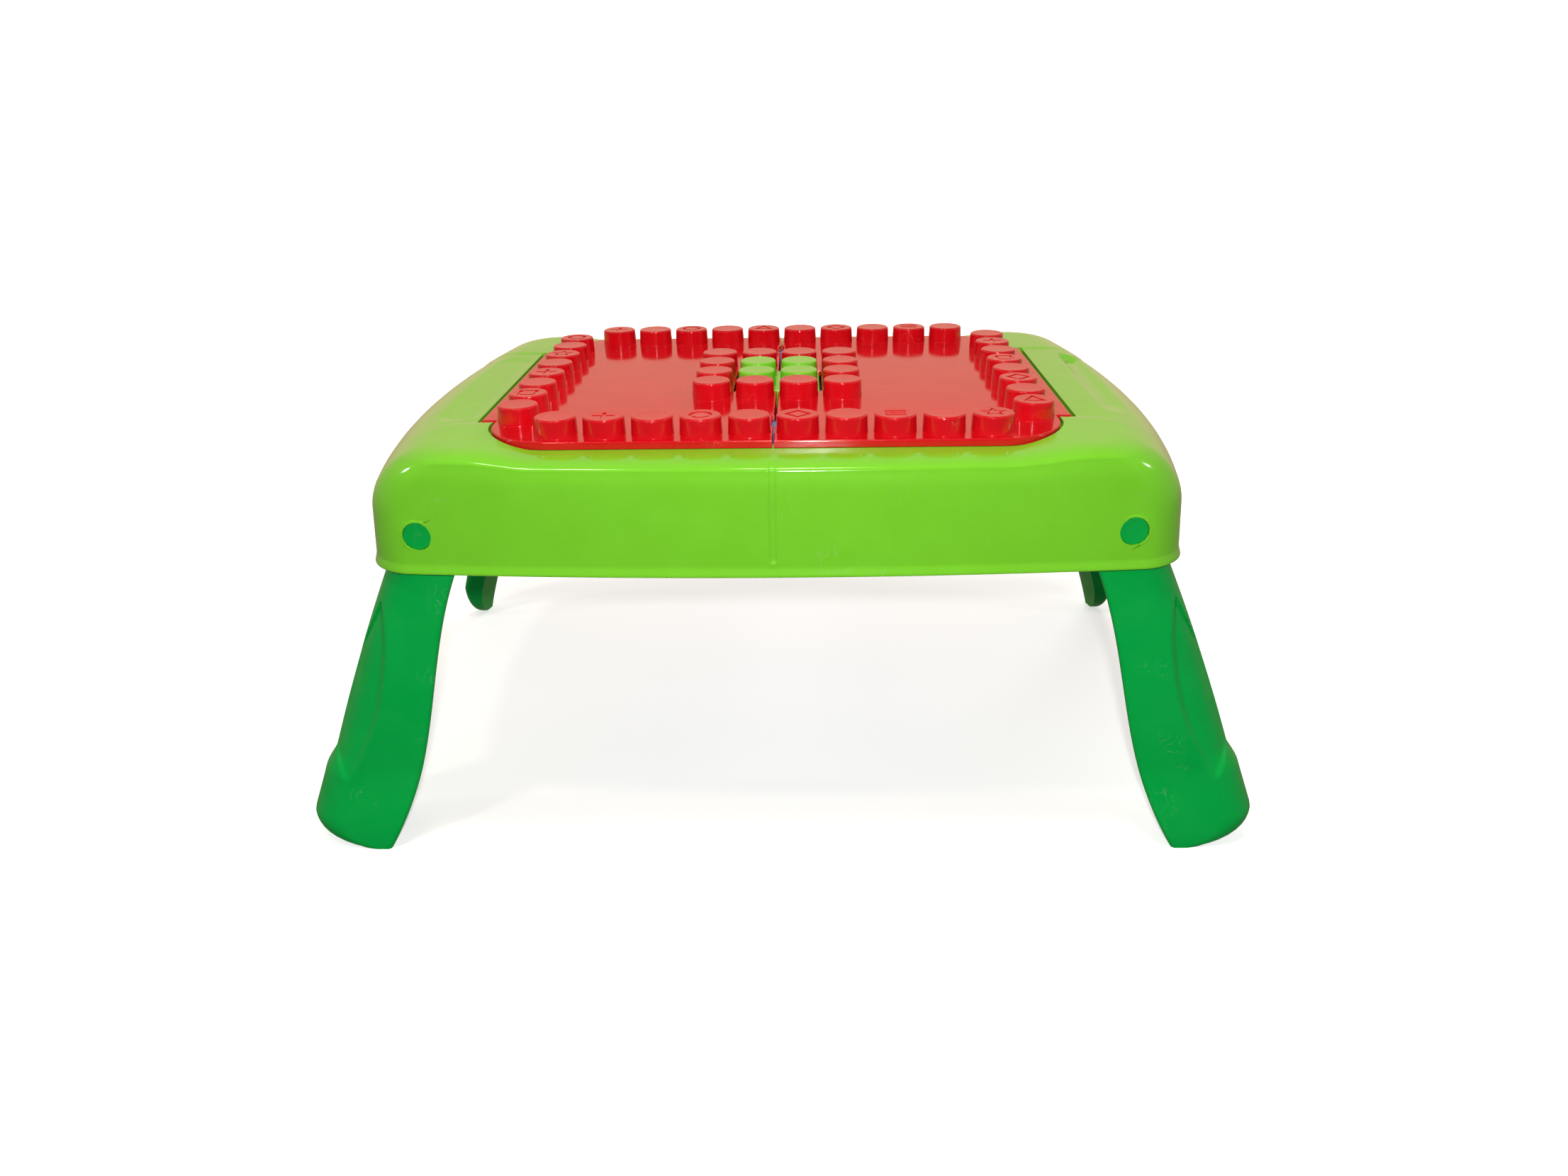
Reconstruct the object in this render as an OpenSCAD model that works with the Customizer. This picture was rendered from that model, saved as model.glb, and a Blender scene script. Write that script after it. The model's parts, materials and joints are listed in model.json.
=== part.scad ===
// Toddler's building-block play table with a flip-open studded top, a storage tray under it and
// four legs that swing in under the frame. Millimetres, +Z up, the floor is z = 0 and the origin
// is under the middle of the table. The front apron faces -Y.

/* [Studs] */
// Distance between stud centres, the large toddler-brick pitch
stud_pitch = 32; // [31:0.5:33]
// Diameter of a stud where it meets the plate
stud_d = 28.6; // [27.5:0.1:29]
// Diameter of a stud at its top
stud_top_d = 27.6; // [26.5:0.1:28]
// Height of a stud above the plate
stud_h = 12.5; // [10:0.5:13]

/* [Table] */
// Height of the stud tops above the floor
table_h = 296; // [290:1:302]
// Half the frame's width at its corners, at the bottom edge
half_x = 262.5; // [262:0.5:266]
// Half the frame's depth at its corners, at the bottom edge
half_y = 191; // [190:1:194]
// How far each end of the frame bows out past its corners
bow_x = 23; // [20:1:26]
// How far the front and the back bow out past the corners
bow_y = 12; // [10:1:14]
// Corner radius of the frame in plan
corner_r = 24; // [22:1:28]
// Height of the apron, from the bottom lip to the rim under the lids
apron_h = 74; // [72:1:76]
// Wall thickness of the mouldings
wall = 3; // [2.5:0.25:3.25]

/* [Lids] */
// Half the width of the two closed lids, without their hinge tabs
lid_half_x = 193; // [192:0.5:196]
// Half the depth of the lids
lid_half_y = 163.5; // [162:0.5:164]
// Corner radius of the lids
lid_r = 46; // [42:1:48]
// Height of a lid's edge above the rim
lid_h = 5; // [4.5:0.25:5.5]
// Gap between the two lids
seam = 1; // [0.8:0.1:1.6]
// Half the length of a hinge tab
tab_half = 108; // [100:1:109]
// Distance of each lid's hinge line from the middle
hinge_x = 201.5; // [201.3:0.1:202.5]
// Radius of the rounded hinge edge
barrel_r = 2.5; // [2.5:0.05:2.6]
// Radius of a hinge pin
hinge_pin_r = 1.25; // [1:0.05:1.3]

/* [Legs] */
// Distance of the leg pivots from the middle, along X
pivot_x = 230; // [229:0.5:231]
// Height of the leg pivots above the floor
pivot_z = 230; // [229:0.5:230]
// Radius of the pivot pin's shaft
pivot_r = 5; // [4:0.5:6]
// Radius of the pivot pin's round head
pivot_head_r = 9.25; // [8:0.25:9.5]
// Distance of a leg's flat face from the middle, inside the frame
leg_face_y = 186.5; // [186:0.25:187]
// How much further out that face is at the floor
leg_splay = 18; // [14:1:20]
// How much further still a front leg's boot steps out at the floor
boot_kick = 7; // [0:1:9]

/* [Tray] */
// Half the width of the storage tray
tray_half_x = 186; // [180:1:187]
// Half the depth of the storage tray
tray_half_y = 142; // [138:1:143]
// Depth of the tray below the rim
tray_d = 65; // [50:1:68]
// Half the side of the lift-off centre block
block_half = 31.7; // [31:0.1:32]

/* [Hidden] */

LIME = [0.47, 0.80, 0.18];
EMERALD = [0.05, 0.60, 0.25];
RED = [0.87, 0.09, 0.15];
BLUE = [0.30, 0.50, 0.78];
STEEL = [0.75, 0.76, 0.78];

// Heights of the main levels.
plate_z = table_h - stud_h;
rim_z = plate_z - lid_h;
lip_z = rim_z - apron_h;
under_z = rim_z - wall - 0.5;
hinge_z = plate_z - barrel_r;
// The wings beside the lids stand a little above the front and back rims.
wing_rise = 4.8;
wing_from = 150;
wing_to = 200;
// Shoulder fillets: width and height, along the ends and along the front and back.
end_fillet = [45, 36];
side_fillet = [19, 5];
draft = 0.06;
lip_h = 5;
lip_out = 1.2;
// Opening under the lids.
well_half_x = 190;
well_half_y = 155;
well_r = 40;
// Clearances.
lid_gap = 1.8;
tab_gap = 2.2;
rest_gap = 0.2;
run = 0.08;
// Points on each corner arc, and on each end, front and back, of a plan outline.
arc_steps = 8;
end_steps = 6;
front_steps = 8;

// ---- Outlines and skins ----

// Evenly spaced points from a towards b, leaving b out.
function lane(a, b, n) = [for (i = [0:n - 1]) a + (b - a) * i / n];

// Points on a quarter circle that starts at angle a0, leaving its end out.
function quarter(cx, cy, r, a0) = [
    for (i = [0:arc_steps - 1])
        let (a = a0 + 90 * i / arc_steps)
        [cx + r * cos(a), cy + r * sin(a)]
];

// A rounded rectangle, anticlockwise, always with the same number of points.
function plan(hx, hy, r) = concat(
    lane([hx, r - hy], [hx, hy - r], end_steps), quarter(hx - r, hy - r, r, 0),
    lane([hx - r, hy], [r - hx, hy], front_steps), quarter(r - hx, hy - r, r, 90),
    lane([-hx, hy - r], [-hx, r - hy], end_steps), quarter(r - hx, r - hy, r, 180),
    lane([r - hx, -hy], [hx - r, -hy], front_steps), quarter(hx - r, r - hy, r, 270)
);

// Bows a plan outline outwards between its corners.
function bowed(pts) = [
    for (p = pts)
        let (tx = min(1, abs(p.x) / half_x), ty = min(1, abs(p.y) / half_y))
        [p.x * (1 + bow_x / half_x * (1 - ty * ty)), p.y * (1 + bow_y / half_y * (1 - tx * tx))]
];

function at_z(pts, z) = [for (p = pts) [p.x, p.y, z]];

// How far a fillet of size [width, height] has come in at depth h below its top.
function fillet_in(size, h) =
    h >= size.y ? 0 : size.x * (1 - sqrt(1 - pow(1 - h / size.y, 2)));

function smooth(t) = let (c = min(1, max(0, t))) c * c * (3 - 2 * c);
function wing(x) = wing_rise * smooth((abs(x) - wing_from) / (wing_to - wing_from));

// One ring of the frame's outside, h below the rim; the wings lift its upper part.
function outer_ring(h) =
    let (
        z = rim_z - h,
        inset = (z - lip_z) * draft,
        fx = fillet_in(end_fillet, h),
        fy = fillet_in(side_fillet, h),
        pts = bowed(plan(half_x - inset - fx, half_y - inset - fy, corner_r - fy / 2)),
        lift = max(0, 1 - h / 30)
    )
    [for (p = pts) [p.x, p.y, z + lift * wing(p.x)]];

// One ring of the frame's inside, h below its flat ceiling.
function inner_ring(h) =
    let (
        z = under_z - h,
        inset = wall + (z - lip_z) * draft,
        fx = fillet_in(end_fillet - [wall, wall], h),
        fy = fillet_in(side_fillet - [wall, wall], h)
    )
    at_z(bowed(plan(half_x - inset - fx, half_y - inset - fy, corner_r - wall - fy / 2)), z);

function lip_ring(z, out) = at_z(bowed(plan(half_x + out, half_y + out, corner_r + out)), z);

// Skin over a stack of rings with equal numbers of points. A closed stack joins its last ring to
// its first; an open one gets end caps.
module skin(rings, closed = false) {
    n = len(rings[0]);
    m = len(rings);
    bands = [
        for (j = [0:(closed ? m - 1 : m - 2)])
            for (i = [0:n - 1])
                let (k = (j + 1) % m, i2 = (i + 1) % n)
                for (tri = [[j * n + i, k * n + i, k * n + i2], [j * n + i, k * n + i2, j * n + i2]])
                    tri
    ];
    caps = closed ? [] : [[for (i = [0:n - 1]) i], [for (i = [n - 1:-1:0]) (m - 1) * n + i]];
    polyhedron(points = [for (r = rings) for (p = r) p], faces = concat(bands, caps));
}

module rounded(hx, hy, r) {
    square([2 * (hx - r), 2 * hy], center = true);
    square([2 * hx, 2 * (hy - r)], center = true);
    for (sx = [-1, 1], sy = [-1, 1])
        translate([sx * (hx - r), sy * (hy - r)]) circle(r = r, $fn = 64);
}

module box(x, y, z) {
    translate([x[0], y[0], z[0]]) cube([x[1] - x[0], y[1] - y[0], z[1] - z[0]]);
}

// A cylinder along Y, from y0 to y1, on the line through x and z.
module rod(x, z, y0, y1, r) {
    translate([x, min(y0, y1), z]) rotate([-90, 0, 0]) cylinder(r = r, h = abs(y1 - y0), $fn = 48);
}

// ---- Frame ----

// Screw positions in the right-hand rear quarter.
bracket_screw_y = [130, 139.5];
bracket_screw_x = 213;
tray_screw_x = 214;
tray_screw_y = [-80, 0, 80];
screw_r = 1.5;
screw_grip = 5.5;

module frame_shell() {
    outer = [for (h = [36, 29, 23, 18, 13.5, 9.5, 7, 5, 3.6, 2.2, 1.1, 0.35, 0]) outer_ring(h)];
    inner = [for (h = [0, 0.3, 1, 2, 4.5, 9, 16, 24, 33, apron_h - wall - 0.5]) inner_ring(h)];
    lip = [lip_ring(lip_z, lip_out), lip_ring(lip_z + lip_h - 1, lip_out),
        outer_ring(apron_h - lip_h)];
    well = plan(well_half_x, well_half_y, well_r);
    edge = [[for (p = well) [p.x, p.y, rim_z + wing(p.x)]], at_z(well, under_z)];
    color(LIME) difference() {
        skin(concat(lip, outer, edge, inner), closed = true);
        // Shallow seat for the lids and their hinge tabs.
        translate([0, 0, rim_z - rest_gap])
            linear_extrude(20) rounded(lid_half_x + lid_gap, lid_half_y + lid_gap, lid_r + lid_gap);
        box([-hinge_x - barrel_r - tab_gap, hinge_x + barrel_r + tab_gap],
            [-tab_half - lid_gap, tab_half + lid_gap], [rim_z - rest_gap, rim_z + 20]);
        for (sx = [-1, 1], sy = [-1, 1]) {
            rod(sx * pivot_x, pivot_z, sy * 170, sy * 220, pivot_head_r + run);
            rod(sx * hinge_x, hinge_z, sy * tab_half, sy * 117, hinge_pin_r + run / 2);
            for (y = bracket_screw_y)
                translate([sx * bracket_screw_x, sy * y, under_z - 1])
                    cylinder(r = screw_r, h = 1 + screw_grip, $fn = 24);
        }
        for (sx = [-1, 1], y = tray_screw_y)
            translate([sx * tray_screw_x, y, under_z - 1])
                cylinder(r = screw_r, h = 1 + screw_grip, $fn = 24);
    }
}

// ---- Storage tray ----

flange_out_x = 201;
flange_out_y = 163;
divider_half = 4;
pedestal_z = 260;

module storage_tray() {
    floor_z = rim_z - tray_d;
    color(BLUE) difference() {
        union() {
            translate([0, 0, floor_z])
                linear_extrude(under_z - floor_z) rounded(tray_half_x, tray_half_y, 24);
            translate([0, 0, under_z - wall])
                linear_extrude(wall) rounded(flange_out_x, flange_out_y, 40);
            for (sx = [-1, 1], y = tray_screw_y)
                translate([sx * tray_screw_x, y, under_z - wall]) {
                    cylinder(r = 7, h = wall, $fn = 48);
                    translate([sx > 0 ? -20 : 0, -7, 0]) cube([20, 14, wall]);
                }
            // The divider under the seam stands up to the lids.
            box([-divider_half, divider_half], [2 - tray_half_y, tray_half_y - 2],
                [floor_z, rim_z - rest_gap]);
        }
        // The two bins, either side of the divider and the pedestal under the centre block.
        translate([0, 0, floor_z + wall]) linear_extrude(tray_d) difference() {
            rounded(tray_half_x - wall, tray_half_y - wall, 24 - wall);
            square([2 * divider_half, 2 * tray_half_y], center = true);
            square([2 * block_half + 4, 2 * block_half + 4], center = true);
        }
        // Seat of the centre block, with the pedestal hollow from below.
        box([-block_half - 5, block_half + 5], [-block_half - 0.8, block_half + 0.8],
            [pedestal_z, rim_z + 5]);
        box([-block_half + 2, block_half - 2], [-block_half + 2, block_half - 2],
            [floor_z - 1, pedestal_z - wall]);
        for (sx = [-1, 1], y = tray_screw_y)
            translate([sx * tray_screw_x, y, under_z - wall - 1])
                cylinder(r = screw_r + 0.3, h = wall + 2, $fn = 24);
    }
}

// ---- Lids and the centre block ----

function stud_pos(col, row) = [(col - 5.5) * stud_pitch, (row - 4.5) * stud_pitch];

function on_edge(col, row) =
    ((row == 0 || row == 9) && col > 0 && col < 11) || ((col == 0 || col == 11) && row > 0 && row < 9);

function on_ring(col, row) =
    col > 3 && col < 8 && row > 2 && row < 7 && !(col > 4 && col < 7 && row > 3 && row < 6);

// The studs of the right-hand lid; the left-hand one mirrors them.
lid_studs = [
    for (col = [6:11], row = [0:9])
        if (on_edge(col, row) || on_ring(col, row)) stud_pos(col, row)
];

module stud() {
    cylinder(r1 = stud_d / 2, r2 = stud_top_d / 2, h = stud_h, $fn = 64);
}

module stud_hollow() {
    translate([0, 0, -lid_h]) cylinder(r = stud_top_d / 2 - 2, h = stud_h + lid_h - 2.5, $fn = 48);
}

slot_half = 2;
slot_y = [100, 128];

module lid() {
    color(RED) difference() {
        union() {
            translate([0, 0, rim_z]) linear_extrude(lid_h) intersection() {
                union() {
                    rounded(lid_half_x, lid_half_y, lid_r);
                    square([2 * hinge_x, 2 * tab_half], center = true);
                }
                translate([seam / 2, -tray_half_x]) square([2 * tray_half_x, 2 * tray_half_x]);
            }
            rod(hinge_x, hinge_z, -tab_half, tab_half, barrel_r);
            for (p = lid_studs) translate([p.x, p.y, plate_z]) stud();
        }
        // Hollow underside inside the skirt.
        translate([0, 0, rim_z - 1]) linear_extrude(1 + lid_h - wall) difference() {
            translate([seam / 2 + wall, 0]) intersection() {
                rounded(lid_half_x - 2 * wall, lid_half_y - wall, lid_r - wall);
                translate([0, -tray_half_x]) square([2 * tray_half_x, 2 * tray_half_x]);
            }
            square(2 * block_half + 9, center = true);
        }
        for (p = lid_studs) translate([p.x, p.y, plate_z]) stud_hollow();
        // Square notch round the centre block, and two finger slots in the seam.
        box([-1, block_half + 1.3], [-block_half - 1.3, block_half + 1.3], [rim_z - 1, plate_z + 1]);
        for (s = [-1, 1])
            box([-1, slot_half], [min(s * slot_y), max(s * slot_y)], [rim_z - 1, plate_z + 1]);
        for (s = [-1, 1]) rod(hinge_x, hinge_z, s * (tab_half - 10), s * (tab_half + 1), hinge_pin_r);
    }
}

module hinge_pins() {
    color(STEEL) for (s = [-1, 1]) rod(hinge_x, hinge_z, s * (tab_half - 10), s * 116.5, hinge_pin_r);
}

module centre_block() {
    color(LIME) difference() {
        union() {
            box([-block_half, block_half], [-block_half, block_half], [pedestal_z, plate_z]);
            for (sx = [-1, 1], sy = [-1, 1])
                translate([sx * stud_pitch / 2, sy * stud_pitch / 2, plate_z]) stud();
        }
        box([wall - block_half, block_half - wall], [wall - block_half, block_half - wall],
            [pedestal_z - 1, plate_z - wall]);
        for (sx = [-1, 1], sy = [-1, 1])
            translate([sx * stud_pitch / 2, sy * stud_pitch / 2, plate_z]) stud_hollow();
    }
}

// ---- Legs ----

leg_top_r = 24;
crown_r = 24;
ankle_z = 50;
boot_round = [32, 20];
rear_round = [12, 34];
leg_depth = 37.5;
foot_depth = 48;
rear_foot_depth = 32;
rear_sole_in = 24;

// How far down a leg is, from 0 at the frame's bottom edge to 1 at the floor.
function down(z) = max(0, (lip_z - z) / lip_z);

// Reach of the round end above the pivot.
function top_reach(z) = sqrt(max(0.04, pow(leg_top_r, 2) - pow(z - pivot_z, 2)));

// Distance from the middle of a leg's inner edge and of its outer edge, at height z.
function inner_edge(z, rear) =
    z >= pivot_z ? pivot_x - top_reach(z)
    : z >= lip_z ? 206 + 3.5 * (pivot_z - z) / (pivot_z - lip_z)
    : let (s = down(z)) 209.5 + (rear ? 139 * s - 42 * s * s : 88.4 * s - 104.9 * s * s + 82 * pow(s, 3));

function shank_edge(z, rear) =
    z >= pivot_z ? pivot_x + top_reach(z)
    : z >= lip_z ? 254 + 7 * (pivot_z - z) / (pivot_z - lip_z)
    : let (s = down(z)) 261 + (rear ? 89 : 94) * s - 17 * s * s;

function outer_edge(z, rear) =
    z > (rear ? rear_round.y : ankle_z) ? shank_edge(z, rear)
    : rear ? 323.4 - fillet_in(rear_round, z)
    : 343.5 - 0.34 * max(z, boot_round.y) - (z < boot_round.y ? fillet_in(boot_round, z) : 0);

// Distance of the flat face from the middle, and of the back of the leg. The face rounds over
// above the pivot, so that the end turns clear of the frame's corner.
function top_lean(z) =
    let (d = max(0, z - pivot_z - leg_top_r + crown_r))
    crown_r - sqrt(max(0, crown_r * crown_r - d * d));
function face_out(z, rear) =
    leg_face_y + leg_splay * down(z) + (rear ? 0 : boot_kick * smooth(1 - z / 60));
function back_y(z, rear) =
    face_out(z, rear) - leg_depth - ((rear ? rear_foot_depth : foot_depth) - leg_depth) * down(z)
    + (rear ? fillet_in([rear_sole_in, rear_round.y], z) : 0);

// Outline of a leg at height z, shrunk by t and opened towards the middle by reach.
function leg_ring(z, rear, t = 0, reach = 0) =
    let (
        a = inner_edge(z, rear) - reach,
        b = max(outer_edge(z, rear) - t, a + 4),
        f = face_out(z, rear) - top_lean(z) - t,
        k = back_y(z, rear) + t,
        room = min(b - inner_edge(z, rear), f - k),
        r1 = min(30 - t, 0.72 * room),
        r2 = min(12 - t, 0.26 * room),
        slant = reach > 0 ? 0 : min(13, 0.3 * room),
        r3 = reach > 0 ? 0.1 : min(3 + 13 * smooth((z - lip_z - 3) / 22), 0.3 * (b - a))
    )
    concat(
        [[a + slant, k, z]],
        [for (i = [0:4]) let (g = -90 + 22.5 * i) [b - r2 + r2 * cos(g), k + r2 + r2 * sin(g), z]],
        [for (i = [0:6]) let (g = 15 * i) [b - r1 + r1 * cos(g), f - r1 + r1 * sin(g), z]],
        [for (i = [0:3]) let (g = 90 + 30 * i) [a + r3 + r3 * cos(g), f - r3 + r3 * sin(g), z]]
    );

leg_levels = [0, 1, 3, 7, 13, 20, 28, 38, 48, 50.5, 60, 78, 98, 120, 142, 165, 188, 205, 218, 230];

// One leg, in the right-hand rear quarter. The front ones have the wide boot foot.
module leg(rear) {
    top = [for (g = [20, 38, 55, 70, 82]) pivot_z + leg_top_r * sin(g)];
    color(EMERALD) difference() {
        union() {
            difference() {
                skin([for (z = concat(leg_levels, top)) leg_ring(z, rear)]);
                skin([
                    for (z = [for (z = leg_levels) if (z > (rear ? 40 : 2) && z < pivot_z - 20) z])
                        leg_ring(z, rear, wall, 20)
                ]);
            }
            // Hub for the pivot pin.
            rod(pivot_x, pivot_z, leg_face_y - leg_depth + 1, leg_face_y - 1, pivot_r + 4);
        }
        rod(pivot_x, pivot_z, 100, 200, pivot_r);
    }
}

pin_face_y = 191.5;
bracket_y = [144.5, 148];

module pivot_pin() {
    color(EMERALD) {
        rod(pivot_x, pivot_z, leg_face_y + 0.5, pin_face_y, pivot_head_r);
        rod(pivot_x, pivot_z, bracket_y[0] - 1.5, leg_face_y + 1, pivot_r);
    }
}

module bracket() {
    color(LIME) difference() {
        union() {
            translate([0, bracket_y[1], 0]) rotate([90, 0, 0])
                linear_extrude(bracket_y[1] - bracket_y[0])
                    polygon([
                        [206, under_z], [218, under_z], [226, under_z - 2],
                        [246, 258], [250, 214], [210, 214]
                    ]);
            box([206, 218], [124, bracket_y[1]], [under_z - wall, under_z]);
        }
        rod(pivot_x, pivot_z, 130, 160, pivot_r + run);
        for (y = bracket_screw_y)
            translate([bracket_screw_x, y, under_z - wall - 1])
                cylinder(r = screw_r + 0.3, h = wall + 2, $fn = 24);
    }
}

// A pan-head screw with a cross recess, driven upwards; its head is under the origin.
module screw() {
    color(STEEL) difference() {
        union() {
            translate([0, 0, -2.2]) cylinder(r = 3, h = 2.2, $fn = 32);
            cylinder(r = screw_r, h = wall + screw_grip - 0.5, $fn = 24);
        }
        for (g = [0, 90]) rotate([0, 0, g]) translate([-1.7, -0.4, -3]) cube([3.4, 0.8, 1.8]);
    }
}

module bracket_screws() {
    for (sx = [-1, 1], sy = [-1, 1], y = bracket_screw_y)
        translate([sx * bracket_screw_x, sy * y, under_z - wall]) screw();
}

module tray_screws() {
    for (sx = [-1, 1], y = tray_screw_y)
        translate([sx * tray_screw_x, y, under_z - wall]) screw();
}

// Puts a piece made in the right-hand rear quarter into its own quarter.
module quarter_turn(left, front) {
    mirror([left ? 1 : 0, 0, 0]) mirror([0, front ? 1 : 0, 0]) children();
}

frame_shell();
storage_tray();
mirror([1, 0, 0]) lid();  // left_lid
lid();  // right_lid
centre_block();
quarter_turn(true, true) leg(false);  // front_left_leg
quarter_turn(false, true) leg(false);  // front_right_leg
quarter_turn(true, false) leg(true);  // rear_left_leg
quarter_turn(false, false) leg(true);  // rear_right_leg
quarter_turn(true, true) pivot_pin();  // front_left_pivot
quarter_turn(false, true) pivot_pin();  // front_right_pivot
quarter_turn(true, false) pivot_pin();  // rear_left_pivot
quarter_turn(false, false) pivot_pin();  // rear_right_pivot
quarter_turn(true, true) bracket();  // front_left_bracket
quarter_turn(false, true) bracket();  // front_right_bracket
quarter_turn(true, false) bracket();  // rear_left_bracket
quarter_turn(false, false) bracket();  // rear_right_bracket
mirror([1, 0, 0]) hinge_pins();  // left_hinge_pins
hinge_pins();  // right_hinge_pins
bracket_screws();
tray_screws();
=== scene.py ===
# A toddler's building-block play table: a bowed lime frame on four splayed legs, two studded red
# lids over a blue tray, and a lift-off lime block in the middle. Shapes below are worked out in
# millimetres, +Z up, the front apron towards -Y, and turned into metres when a mesh is made.

import json
import math

import bmesh
import bpy
import numpy as np
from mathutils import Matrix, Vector


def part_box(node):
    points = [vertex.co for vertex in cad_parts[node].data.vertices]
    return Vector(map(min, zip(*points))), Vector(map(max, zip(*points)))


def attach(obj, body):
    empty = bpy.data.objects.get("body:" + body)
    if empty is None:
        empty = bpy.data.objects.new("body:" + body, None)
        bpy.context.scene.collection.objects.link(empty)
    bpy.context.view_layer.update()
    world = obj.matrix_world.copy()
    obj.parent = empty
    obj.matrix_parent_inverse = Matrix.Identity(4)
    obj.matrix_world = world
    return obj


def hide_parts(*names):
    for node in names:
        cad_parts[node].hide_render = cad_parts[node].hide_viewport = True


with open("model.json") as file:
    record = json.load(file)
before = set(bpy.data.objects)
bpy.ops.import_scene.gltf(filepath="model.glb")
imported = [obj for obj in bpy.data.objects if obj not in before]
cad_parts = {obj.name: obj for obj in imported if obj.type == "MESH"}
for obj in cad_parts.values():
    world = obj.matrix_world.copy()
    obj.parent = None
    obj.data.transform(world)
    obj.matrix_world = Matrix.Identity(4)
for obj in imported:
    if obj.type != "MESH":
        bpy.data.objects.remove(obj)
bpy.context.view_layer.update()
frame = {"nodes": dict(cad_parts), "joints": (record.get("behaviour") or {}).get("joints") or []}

MM = 0.001


def box_mm(node):
    """A CAD node's lowest and highest corners in millimetres."""
    low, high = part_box(node)
    return low / MM, high / MM


# ---- Sizes, from the frame ----

lid_low, lid_high = box_mm("right_lid")
shell_low, shell_high = box_mm("frame_shell")
block_low, block_high = box_mm("centre_block")
tray_low = box_mm("storage_tray")[0]
pin_low, pin_high = box_mm("rear_right_pivot")
hinges = {j["name"]: Vector(j["pos_m"]) / MM for j in frame["joints"] if "pos_m" in j}
HINGE = hinges["right_lid_hinge"]
PIVOT = hinges["rear_right_leg_fold"]

# The grid of the studs, and one stud.
COLUMNS, ROWS = 12, 10
STUD_PITCH = 32
STUD_H = 12.5
STUD_R = 14.3
STUD_TOP_R = 13.8

# Heights: stud tops, the lids' plates, the frame's rim, its bottom lip, the seat of the closed
# lids, the underside of the frame's top (a little thicker than its sides), the tray's floor.
WALL = 3
TOP_EXTRA = 0.5
TOP_Z = lid_high.z
PLATE_Z = TOP_Z - STUD_H
RIM_Z = lid_low.z
LIP_Z = shell_low.z
SEAT_Z = RIM_Z - 0.2
UNDER_Z = RIM_Z - WALL - TOP_EXTRA
FLOOR_Z = tray_low.z

# The frame from above: how far its lip stands out, how far its sides bow out between the
# corners, half sizes and radius at the corners, and the opening (half sizes, radius).
LIP_OUT = 1.2
BOW = (23, 12)
HALF = tuple(round(2 * (shell_high[i] - LIP_OUT - BOW[i])) / 2 for i in (0, 1))
CORNER_R = 24
WELL = (190, 155, 40)

# The frame from the side: its sides' draft, the fillets (width, height) at its ends and along its
# front and back, and the wings, which rise between two distances from the middle and fade out
# over a depth below the rim.
DRAFT = 0.06
END_FILLET = (45, 36)
SIDE_FILLET = (19, 5)
WING_RISE = 4.8
WING_SPAN = (150, 200)
WING_FADE = 30

# The lids: half sizes and radius of the pair, gaps to the frame, the hinge tabs' half length and
# rounded edge, half the gap between the lids, and the centre block's half size.
LID_HALF = (193, 163.5)
LID_R = 46
LID_GAP = 1.8
TAB_GAP = 2.2
TAB_HALF = 108
BARREL_R = 2.5
SEAM = 0.5
BLOCK_HALF = block_high.x

# The pivots' heads, their holes in the frame, and the frame's face there.
PIN_R = (pin_high.x - pin_low.x) / 2
HOLE_R = PIN_R + 0.08
APRON_Y = pin_high.y + 0.35

# ---- Outlines and skins ----


def spread(start, end, step, extra=()):
    """Even values from start to end, in order, with the extra ones in place of those too close to
    them; end itself is left out."""
    count = max(1, round(abs(end - start) / step))
    values = np.linspace(start, end, count + 1)
    low, high = min(start, end), max(start, end)
    inside = [v for v in extra if low < v < high]
    clear = [v for v in values
             if v in (start, end) or all(abs(v - e) > 0.35 * step for e in inside)]
    return sorted(set(clear) | set(inside), reverse=start > end)[:-1]


def arc(centre, radius, start, end, steps):
    """Points on an arc, angles in degrees, its end left out."""
    angles = np.radians(start + (end - start) * np.arange(steps) / steps)
    return [(centre[0] + radius * math.cos(a), centre[1] + radius * math.sin(a)) for a in angles]


# Fractions along the frame's ends and its front and back where details need closer points.
END_STOPS = [s * v for s in (-1, 1)
             for v in (0.55, 0.68, 0.70, 0.715, 0.73, 0.745, 0.76, 0.78, 0.83, 0.855)]
FRONT_STOPS = [0.0] + [s * v for s in (-1, 1)
                       for v in (0.003, 0.006, 0.0085, 0.011, 0.0135, 0.016, 0.02, 0.03)]
END_SHARES = spread(-1, 1, 0.03, END_STOPS)
FRONT_SHARES = spread(-1, 1, 0.04, FRONT_STOPS)
ARC_STEPS = 14


def plan(half_x, half_y, radius):
    """A rounded rectangle, anticlockwise, always with the same number of points."""
    x, y = half_x - radius, half_y - radius
    points = [(half_x, t * y) for t in END_SHARES]
    points += arc((x, y), radius, 0, 90, ARC_STEPS)
    points += [(-t * x, half_y) for t in FRONT_SHARES]
    points += arc((-x, y), radius, 90, 180, ARC_STEPS)
    points += [(-half_x, -t * y) for t in END_SHARES]
    points += arc((-x, -y), radius, 180, 270, ARC_STEPS)
    points += [(t * x, -half_y) for t in FRONT_SHARES]
    points += arc((x, -y), radius, 270, 360, ARC_STEPS)
    return np.array(points)


def bowed(points):
    """Bows an outline outwards between its corners."""
    x, y = points[:, 0], points[:, 1]
    tx = np.minimum(1, np.abs(x) / HALF[0])
    ty = np.minimum(1, np.abs(y) / HALF[1])
    return np.column_stack([
        x * (1 + BOW[0] / HALF[0] * (1 - ty**2)), y * (1 + BOW[1] / HALF[1] * (1 - tx**2))
    ])


def at_z(points, z):
    """An outline as a level ring of points."""
    return np.column_stack([points, np.full(len(points), z, float)])


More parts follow.
